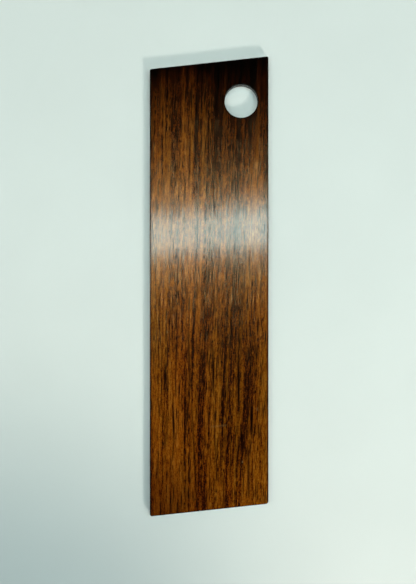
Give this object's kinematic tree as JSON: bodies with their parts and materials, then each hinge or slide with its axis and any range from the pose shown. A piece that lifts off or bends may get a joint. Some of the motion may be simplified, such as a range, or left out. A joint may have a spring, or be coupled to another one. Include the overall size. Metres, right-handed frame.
{
  "type": "hanging wooden board",
  "caption": "Flat, narrow, dark lacquered wooden board with slanted ends and a hanging hole near one corner.",
  "frame": {"origin": "centre of the bounding box's bottom, on the underside that the board lies on", "axes": "+X across the board towards the long edge nearer the hole, +Y along the board and its face grain towards the end with the hole, +Z through the thickness, out of the face side"},
  "size_m": [0.05, 0.1938, 0.003],
  "materials": {
    "face_wood": "dark stained, clear satin to gloss lacquer, grain along the length",
    "core_wood": "dark stained and lacquered edge, grain across the width",
    "back_wood": "dark stained, thin satin lacquer, grain along the length"
  },
  "bodies": {
    "root": {"face_ply": "face_wood", "core_ply": "core_wood", "back_ply": "back_wood"}
  },
  "joints": []
}
